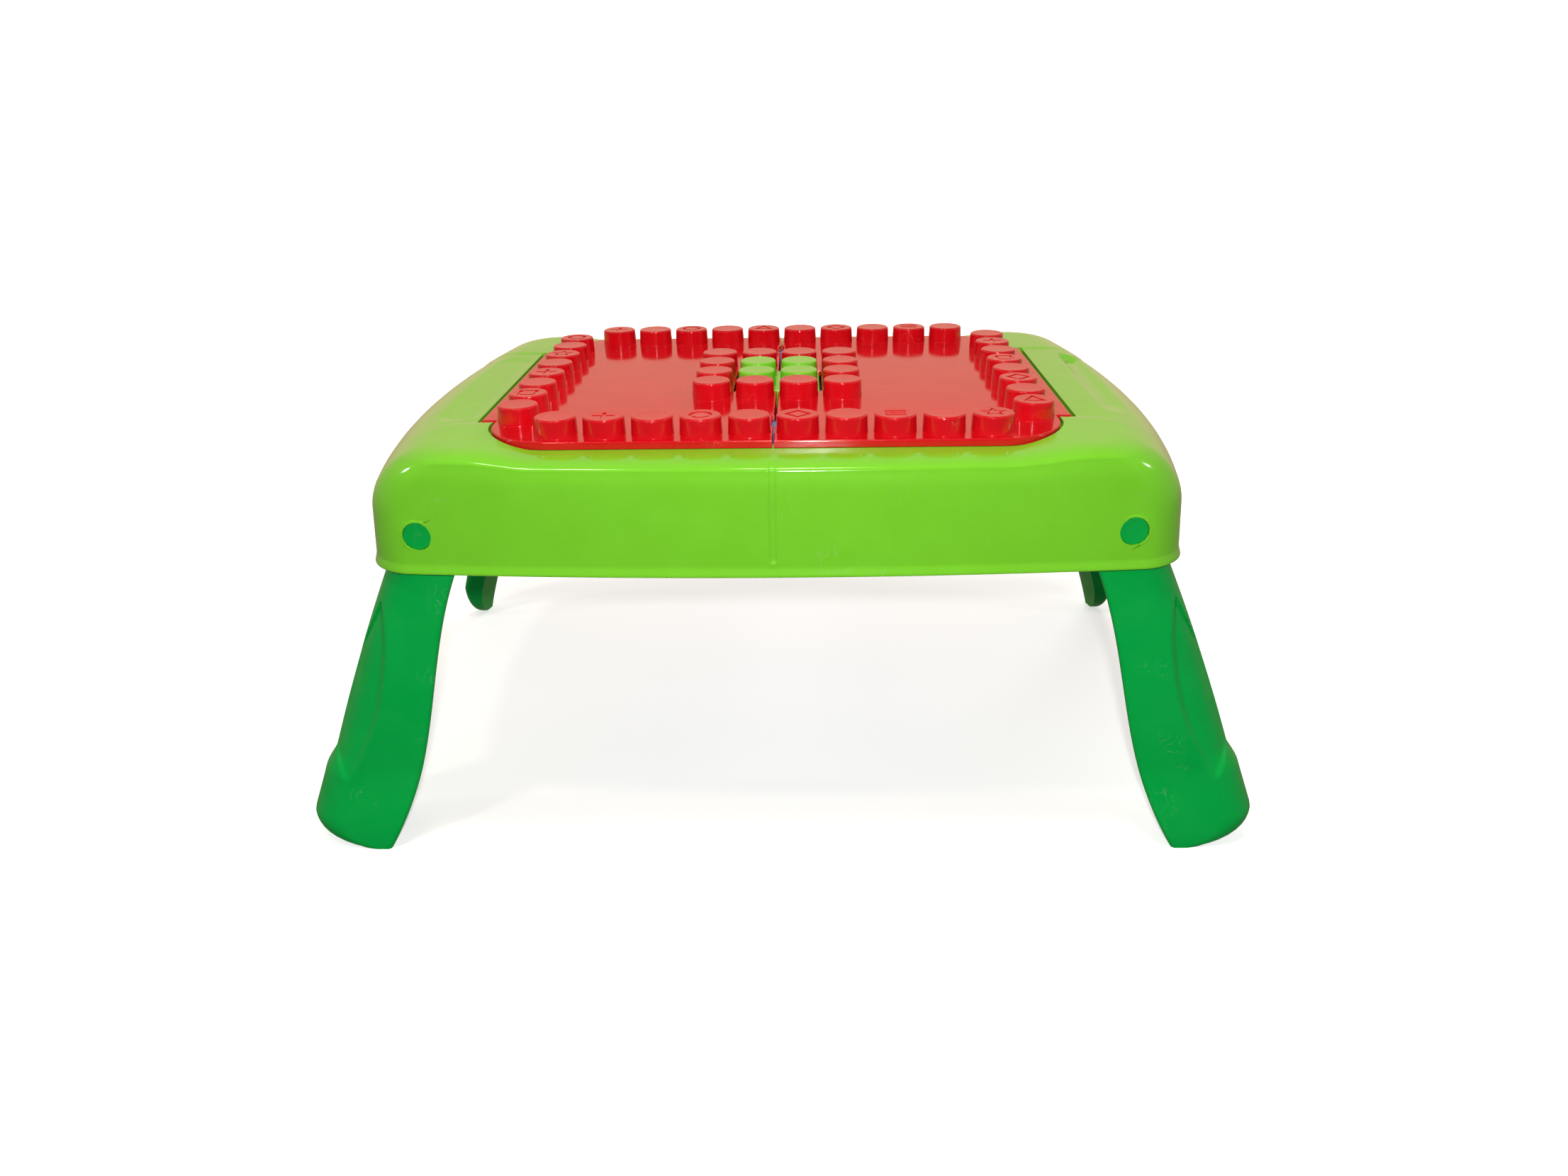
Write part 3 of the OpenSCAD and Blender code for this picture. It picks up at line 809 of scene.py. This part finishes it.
# The tub and its bins: half sizes and corner radius, the radii of their bottom edges, the wall
# between the bins.
TUB_HALF = (186, 142)
TUB_R = 24
TUB_EDGE_R = 5
BIN_R = 21
BIN_EDGE_R = 9
DIVIDER_HALF = 4
# The flange under the frame's top (half sizes, radius), and its ears with their screw holes.
FLANGE = (201, 163, 40)
EAR_ROOT_X, EAR_X = 194, 214
EAR_R = 7
EAR_Y = (-80, 0, 80)
SCREW_HOLE_R = 1.8
# The pedestal of the centre block: its top, and how far it reaches past the block.
PEDESTAL_Z = 260
PEDESTAL_OUT = 2
# A narrow channel along the divider under the seam, left out under the finger slots.
SEAM_CUT_X = (-0.9, 0.9)
SEAM_CUT_DEPTH = 16
SEAM_CUT_SPANS = ((30, SLOT_Y[0] - 1), (SLOT_Y[1] + 1, 145))


def tub(half_x, half_y, radius, edge_r, low, high, x=0):
    """A round-cornered box with a rounded bottom edge, its middle at x."""
    rings = []
    for a in range(0, 91, 15):
        back = edge_r * (1 - math.sin(math.radians(a)))
        rise = edge_r * (1 - math.cos(math.radians(a)))
        outline = round_box(half_x - back, half_y - back, radius - back)
        rings.append(at_z(outline + [x, 0], low + rise))
    rings.append(at_z(round_box(half_x, half_y, radius) + [x, 0], high))
    return skin(rings)


def bin_space(sign):
    """A cutter for the bin on one side of the divider."""
    inner, outer, half_y = DIVIDER_HALF, TUB_HALF[0] - WALL, TUB_HALF[1] - WALL
    middle, half_x = (inner + outer) / 2, (outer - inner) / 2
    return tub(half_x, half_y, BIN_R, BIN_EDGE_R, FLOOR_Z + WALL, RIM_Z + 5, sign * middle)


def make_tray():
    """The blue tray, with two bins, a flange with ears, and the pedestal of the centre block."""
    ears = []
    for y in EAR_Y:
        outline = arc((EAR_X, y), EAR_R, -90, 90, ARC_STEPS)
        outline += [(EAR_X, y + EAR_R), (EAR_ROOT_X, y + EAR_R), (EAR_ROOT_X, y - EAR_R)]
        ear = prism(outline, UNDER_Z - WALL, UNDER_Z)
        ears += [ear, flipped(ear, True, False)]
    hole = [(SCREW_HOLE_R, UNDER_Z - 5), (SCREW_HOLE_R, UNDER_Z + 5)]
    holes = [lathe(hole, (x, y, 0), 24) for x in (-EAR_X, EAR_X) for y in EAR_Y]
    divider = block((-DIVIDER_HALF, DIVIDER_HALF), (-140, 140), (FLOOR_Z + 1, SEAT_Z))
    spans = [(-end, -start) for start, end in SEAM_CUT_SPANS] + list(SEAM_CUT_SPANS)
    seam_cut = [block(SEAM_CUT_X, span, (RIM_Z - SEAM_CUT_DEPTH, RIM_Z + 1)) for span in spans]
    reach, gap, hollow = BLOCK_HALF + PEDESTAL_OUT, BLOCK_HALF + 0.8, BLOCK_HALF - 2
    obj = shape(
        "blue_tray", tub(*TUB_HALF, TUB_R, TUB_EDGE_R, FLOOR_Z, UNDER_Z),
        ("UNION", prism(round_box(*FLANGE), UNDER_Z - WALL, UNDER_Z)),
        ("UNION", merged(ears)),
        ("DIFFERENCE", bin_space(-1)),
        ("DIFFERENCE", bin_space(1)),
        ("UNION", divider),
        ("DIFFERENCE", merged(seam_cut)),
        ("UNION", prism(round_box(reach, reach, 5), FLOOR_Z + 1, PEDESTAL_Z)),
        # Room for the centre block in the divider, the screw holes, the pedestal's inside.
        ("DIFFERENCE", block((-reach - 3, reach + 3), (-gap, gap), (PEDESTAL_Z, RIM_Z + 5))),
        ("DIFFERENCE", merged(holes)),
        ("DIFFERENCE", prism(round_box(hollow, hollow, 4), FLOOR_Z - 1, PEDESTAL_Z - WALL)),
    )
    finish_piece(obj, BLUE, "frame", "blue_plastic", "storage_tray")


# ---- Legs ----

# The round top about the pivot, and how it leans back above it.
LEG_TOP_R = 24
CROWN_R = 24
# The outer face at the pivot, how far it splays outwards down to the floor, and the front boots'
# extra, which grows below a height.
FACE_Y = 186.5
SPLAY = 18
BOOT_KICK = 7
BOOT_KICK_Z = 60
# How deep a leg is from its face to its back, at the lip and (rear or not) at the floor.
DEPTH = 37.5
FOOT_DEPTH = {False: 48, True: 32}
# The edges' x at the pivot and at the lip; below it the inner edge is a cubic in down() and the
# outer one a square.
INNER_X = (206, 209.5)
INNER_CURVE = {False: (88.4, -104.9, 82), True: (139, -42, 0)}
SHANK_X = (254, 261)
SHANK_CURVE = {False: (94, -17), True: (89, -17)}
# The front boots: the ankle's heights, the outer edge at the floor and its lean, the rounded toe.
ANKLE_Z = (50, 66)
BOOT_X = 343.5
BOOT_LEAN = 0.34
BOOT_ROUND = (32, 20)
# The rear feet: their outer edge, its rounding (width, height) and how far the back comes in.
REAR_TIP_X = 323.4
REAR_ROUND = (12, 34)
REAR_SOLE_IN = 24
# The pivot's hub inside a leg and the hole through it.
HUB_R = 9
BORE_R = 5


def down(z):
    """How far down a leg z is: 0 at the frame's lip, 1 at the floor."""
    return max(0.0, (LIP_Z - z) / LIP_Z)


def top_reach(z):
    """Half the width of a leg's round top at height z."""
    return math.sqrt(max(0.04, LEG_TOP_R**2 - (z - PIVOT.z) ** 2))


def inner_edge(z, rear):
    """A leg's inner edge."""
    s = down(z)
    if z >= PIVOT.z:
        return PIVOT.x - top_reach(z)
    if z >= LIP_Z:
        return INNER_X[0] + (INNER_X[1] - INNER_X[0]) * (PIVOT.z - z) / (PIVOT.z - LIP_Z)
    a, b, c = INNER_CURVE[rear]
    return INNER_X[1] + (a * s + b * s * s + c * s**3)


def shank_edge(z, rear):
    """A leg's outer edge above its foot."""
    s = down(z)
    if z >= PIVOT.z:
        return PIVOT.x + top_reach(z)
    if z >= LIP_Z:
        return SHANK_X[0] + (SHANK_X[1] - SHANK_X[0]) * (PIVOT.z - z) / (PIVOT.z - LIP_Z)
    a, b = SHANK_CURVE[rear]
    return SHANK_X[1] + a * s + b * s * s


def outer_edge(z, rear):
    """A leg's outer edge: the shank, and on a front leg the boot that stands out below it."""
    if rear:
        return shank_edge(z, True) if z > REAR_ROUND[1] else REAR_TIP_X - fillet_in(REAR_ROUND, z)
    low, high = ANKLE_Z
    if z >= high:
        return shank_edge(z, False)
    boot = BOOT_X - BOOT_LEAN * max(z, BOOT_ROUND[1]) - fillet_in(BOOT_ROUND, z)
    t = float(smooth((high - z) / (high - low)))
    return shank_edge(z, False) * (1 - t) + boot * t


def top_lean(z):
    """How far the outer face has leant back at height z."""
    d = max(0.0, z - PIVOT.z - LEG_TOP_R + CROWN_R)
    return CROWN_R - math.sqrt(max(0.0, CROWN_R**2 - d * d))


def leg_section(z, rear, thin=0.0, reach=0.0):
    """Outline of a leg at height z in the right-hand rear quarter, anticlockwise from its back.

    For the cavity it is thinner on three sides, and reaches out past the open inner side.
    """
    a = inner_edge(z, rear) - reach
    b = max(outer_edge(z, rear) - thin, a + 4)
    out = FACE_Y + SPLAY * down(z) + (0 if rear else BOOT_KICK * float(smooth(1 - z / BOOT_KICK_Z)))
    face = out - top_lean(z) - thin
    back = out - DEPTH - (FOOT_DEPTH[rear] - DEPTH) * down(z) + thin
    if rear:
        back += fillet_in((REAR_SOLE_IN, REAR_ROUND[1]), z)
    # Radii of the outer corners at the face and at the back, the inner corner's slant at the back
    # and its radius at the face, each held to a share of the width.
    room = min(b - a - reach, face - back)
    r1 = max(0.5, min(30 - thin, 0.72 * room))
    r2 = max(0.5, min(12 - thin, 0.26 * room))
    slant = 0 if reach else min(13, 0.3 * room)
    r3 = 0.1 if reach else min(3 + 13 * float(smooth((z - LIP_Z - 3) / 22)), 0.3 * (b - a))
    points = [(a + slant + (b - r2 - a - slant) * t, back) for t in (0, 0.25, 0.5, 0.75)]
    points += arc((b - r2, back + r2), r2, -90, 0, 6)
    points += [(b, back + r2 + (face - r1 - back - r2) * t) for t in (0, 0.35, 0.7)]
    points += arc((b - r1, face - r1), r1, 0, 90, 26)
    width = b - r1 - (a + r3)
    points += [(b - r1 - width * t, face) for t in np.linspace(0, 1, 31)[:-1]]
    points += arc((a + r3, face - r3), r3, 90, 180, 5) + [(a, face - r3)]
    return np.array(points)


# The leaf-shaped hollow on a front leg: its lowest and highest point, its inboard crease by
# height, and its depth, which shrinks towards the top. Above OUTER_CREASE_Z a slanting crease
# closes it on the outside.
HOLLOW_Z = (44, 182)
CREASE_Z = (47, 66, 86, 105, 124, 140, 152, 168, 182)
CREASE_X = (303, 290.5, 280, 272.5, 267.5, 265, 264, 264.2, 265.5)
HOLLOW_DEPTH = 4.8
OUTER_CREASE_Z = 128


def hollow_depth(x, z):
    """How far a front leg's face is set back at x, height z, inside its leaf-shaped hollow."""
    if not HOLLOW_Z[0] < z < HOLLOW_Z[1]:
        return np.zeros_like(x)
    high = float(smooth((z - 120) / 40))
    crease_width = 4.8 - 2.6 * high
    inside = smooth((x - np.interp(z, CREASE_Z, CREASE_X)) / crease_width)
    if z > OUTER_CREASE_Z:
        outer_crease = 266 + (180 - z) * 0.58
        inside = inside * smooth((outer_crease - x) / 1.8)
    # At its foot it gets shallower and runs out against the boot's rim, which climbs outwards.
    rim = 46.5 + (x - 303) * 1.45
    depth = (HOLLOW_DEPTH - 1.4 * high) * (0.4 + 0.6 * float(smooth((z - 50) / 45)))
    return depth * inside * smooth((z - rim) / 7)


def leg_ring(z, rear):
    """A leg's outside at height z, with the hollow pressed into the part that faces outwards."""
    points = leg_section(z, rear)
    y = points[:, 1]
    if not rear:
        facing = smooth((y - (y.max() - 27)) / 12)
        points[:, 1] = y - hollow_depth(points[:, 0], z) * facing
    return at_z(points, z)


def leg_solid(rear):
    heights = [0, 0.4, 1.2, 2.4, *np.arange(4, 42, 2.5), *np.arange(42, 72, 1.0)]
    heights += [*np.arange(72, 120, 4), *np.arange(120, 184, 2), *np.arange(184, 204, 5)]
    heights += [LIP_Z, 209, 214, 219, 224, PIVOT.z]
    heights += [PIVOT.z + LEG_TOP_R * math.sin(math.radians(a))
                for a in (12, 24, 36, 48, 58, 67, 75, 82)]
    return skin([leg_ring(z, rear) for z in heights])


def leg_cavity(rear):
    """A cutter for the open inside of a leg; a rear leg is solid below it."""
    heights = [48, 52, 60, 78, 98, 120, 142, 165, 188, LIP_Z]
    if not rear:
        heights = [2.6, 7, 13, 20, 28, 38] + heights
    rings = []
    for z in heights:
        # A front leg's wall is thicker behind the hollow in its face.
        extra = 3.4 if 40 < z < 190 and not rear else 0.0
        rings.append(at_z(leg_section(z, rear, WALL + extra, 20.0), z))
    return skin(rings)


def make_leg(left, front):
    """A leg and the round button of its pivot."""
    name = ("front" if front else "rear") + ("_left" if left else "_right")
    rear = not front
    centre = (PIVOT.x, 0, PIVOT.z)
    hub = lathe([(HUB_R, FACE_Y - DEPTH + 1), (HUB_R, FACE_Y - 8)], centre, 40, "y")
    bore = lathe([(BORE_R, 100), (BORE_R, 200)], centre, 40, "y")
    steps = [("DIFFERENCE", leg_cavity(rear)), ("UNION", hub), ("DIFFERENCE", bore)]
    steps = [(operation, flipped(solid, left, front)) for operation, solid in steps]
    obj = shape(name + "_green_leg", flipped(leg_solid(rear), left, front), *steps)
    finish_piece(obj, EMERALD, name + "_leg", "emerald_plastic", name + "_leg")

    # The button's shaft, its head's back and rounded rim, and the barely dished front.
    tail, step, head = pin_low.y, FACE_Y + 0.5, pin_high.y
    button = [(BORE_R - 0.1, tail), (BORE_R, tail + 0.4), (BORE_R, step), (PIN_R - 0.7, step)]
    button += [(PIN_R, step + 0.6), (PIN_R, head - 0.7), (PIN_R - 0.2, head - 0.25)]
    button += [(PIN_R - 0.8, head), (PIN_R - 1.8, head - 0.1), (3.5, head - 0.22)]
    obj = new_object(name + "_button", flipped(lathe(button, centre, 56, "y"), left, front))
    finish_piece(obj, BUTTON, name + "_leg", "pivot_plastic", name + "_pivot")


# ---- Floor, light and camera ----


def make_floor(half=6):
    """A pale floor that glows towards its edges, so that it fades into the white behind it."""
    mesh = bpy.data.meshes.new("floor")
    verts = [(x, y, 0) for x, y in ((-half, -half), (half, -half), (half, half), (-half, half))]
    mesh.from_pydata(verts, [], [(0, 1, 2, 3)])
    obj = bpy.data.objects.new("floor", mesh)
    bpy.context.scene.collection.objects.link(obj)
    material = bpy.data.materials.new("pale_floor")
    material.use_nodes = True
    nodes, links = material.node_tree.nodes, material.node_tree.links
    shader = nodes["Principled BSDF"]
    shader.inputs["Roughness"].default_value = 0.9
    shader.inputs["Emission Color"].default_value = (1, 1, 1, 1)
    cloud = nodes.new("ShaderNodeTexNoise")
    cloud.inputs["Scale"].default_value = 1.5
    shade = nodes.new("ShaderNodeValToRGB")
    shade.color_ramp.elements[0].color = (0.86, 0.86, 0.86, 1)
    shade.color_ramp.elements[1].color = (0.9, 0.9, 0.9, 1)
    links.new(cloud.outputs["Fac"], shade.inputs["Fac"])
    links.new(shade.outputs["Color"], shader.inputs["Base Color"])
    place = nodes.new("ShaderNodeTexCoord")
    reach = nodes.new("ShaderNodeVectorMath")
    reach.operation = "LENGTH"
    links.new(place.outputs["Object"], reach.inputs[0])
    fade = nodes.new("ShaderNodeMapRange")
    fade.inputs["From Min"].default_value = 0.3
    fade.inputs["From Max"].default_value = 1.5
    fade.inputs["To Min"].default_value = 0.5
    fade.inputs["To Max"].default_value = 1.0
    links.new(reach.outputs["Value"], fade.inputs["Value"])
    links.new(fade.outputs["Result"], shader.inputs["Emission Strength"])
    mesh.materials.append(material)
    # The object neither mirrors it nor takes light from it.
    obj.visible_glossy = False
    obj.visible_diffuse = False


def area_light(name, place, target, size, watts, colour=(1, 1, 1), glints=True):
    """A round light at a place, aimed at a target; without glints it isn't seen in gloss."""
    data = bpy.data.lights.new(name, "AREA")
    data.color = colour
    data.shape = "DISK"
    data.size = size
    data.energy = watts
    obj = bpy.data.objects.new(name, data)
    obj.visible_glossy = glints
    obj.location = place
    obj.rotation_euler = (Vector(target) - Vector(place)).to_track_quat("-Z", "Y").to_euler()
    bpy.context.scene.collection.objects.link(obj)


def make_world():
    """A studio, white to the camera; the object sees it warm and bright low behind the table, and
    dim in front and overhead."""
    world = bpy.data.worlds.new("studio")
    world.use_nodes = True
    nodes, links = world.node_tree.nodes, world.node_tree.links
    place = nodes.new("ShaderNodeTexCoord")
    towards = nodes.new("ShaderNodeVectorMath")
    towards.operation = "DOT_PRODUCT"
    towards.inputs[1].default_value = (0, 0.45, -0.12)
    links.new(place.outputs["Generated"], towards.inputs[0])
    lift = nodes.new("ShaderNodeMath")
    lift.operation = "ADD"
    lift.inputs[1].default_value = 0.5
    links.new(towards.outputs["Value"], lift.inputs[0])
    shade = nodes.new("ShaderNodeValToRGB")
    walls = ((0.05, (0.12, 0.12, 0.12, 1)), (0.38, (0.22, 0.22, 0.22, 1)),
             (0.5, (0.33, 0.3, 0.27, 1)), (0.7, (0.55, 0.42, 0.33, 1)),
             (0.92, (0.84, 0.56, 0.42, 1)))
    stops = shade.color_ramp.elements
    stops[0].position, stops[0].color = walls[0]
    stops[1].position, stops[1].color = walls[-1]
    for position, colour in walls[1:-1]:
        stops.new(position).color = colour
    links.new(lift.outputs[0], shade.inputs["Fac"])
    # Below the horizon it is dim, as if over a dull carpet.
    split = nodes.new("ShaderNodeSeparateXYZ")
    links.new(place.outputs["Generated"], split.inputs[0])
    below = nodes.new("ShaderNodeMapRange")
    below.inputs["From Min"].default_value = -0.3
    below.inputs["From Max"].default_value = -0.02
    below.inputs["To Min"].default_value = 0.5
    below.inputs["To Max"].default_value = 1.0
    links.new(split.outputs["Z"], below.inputs["Value"])
    dim = nodes.new("ShaderNodeVectorMath")
    dim.operation = "SCALE"
    links.new(shade.outputs["Color"], dim.inputs[0])
    links.new(below.outputs["Result"], dim.inputs["Scale"])
    seen = nodes.new("ShaderNodeLightPath")
    mix = nodes.new("ShaderNodeMix")
    mix.data_type = "RGBA"
    mix.inputs["B"].default_value = (1, 1, 1, 1)
    links.new(seen.outputs["Is Camera Ray"], mix.inputs["Factor"])
    links.new(dim.outputs["Vector"], mix.inputs["A"])
    links.new(mix.outputs["Result"], nodes["Background"].inputs["Color"])
    nodes["Background"].inputs["Strength"].default_value = 1.0
    bpy.context.scene.world = world


def make_camera():
    """The camera where the photograph was taken from."""
    data = bpy.data.cameras.new("camera")
    data.sensor_width = 36
    data.lens = 26.45
    data.clip_start = 0.02
    obj = bpy.data.objects.new("camera", data)
    obj.location = (0.0228, -0.8809, 0.4956)
    obj.rotation_euler = [math.radians(a) for a in (66.2375, 0.8454, 0.9996)]
    bpy.context.scene.collection.objects.link(obj)
    bpy.context.scene.camera = obj


make_camera()
make_world()
make_floor()
area_light("flash", (0.03, -0.93, 0.56), (0, 0, 0.2), size=0.03, watts=4.85)
area_light("overhead", (0, -0.3, 1.8), (0, -0.05, 0.28), size=0.25, watts=7,
           colour=(1, 0.84, 0.66))
area_light("back_fill", (0.5, 1.7, 1.2), (0, 0, 0.25), size=0.9, watts=9, glints=False)
area_light("lamp", (-0.5, -0.65, 1.67), (-0.14, -0.2, 0.28), size=0.14, watts=3,
           colour=(1, 0.95, 0.78))
area_light("left_side", (-1.5, -0.25, 0.95), (0, 0, 0.25), size=0.15, watts=1.5)
area_light("right_side", (1.5, -0.25, 0.95), (0, 0, 0.25), size=0.15, watts=1.5)
bpy.context.scene.view_settings.view_transform = "Standard"

make_frame()
make_lid("left")
make_lid("right")
make_block()
make_tray()
for is_left in (True, False):
    for is_front in (True, False):
        make_leg(is_left, is_front)
# CAD nodes that stay as they are, with their materials.
metal_nodes = ("bracket_screws", "tray_screws", "left_hinge_pins", "right_hinge_pins")
carried = {node_name: STEEL for node_name in metal_nodes}
for node_name in frame["nodes"]:
    if node_name.endswith("_bracket"):
        carried[node_name] = LIME
for node_name, finish in carried.items():
    materials = frame["nodes"][node_name].data.materials
    materials.clear()
    materials.append(finish)
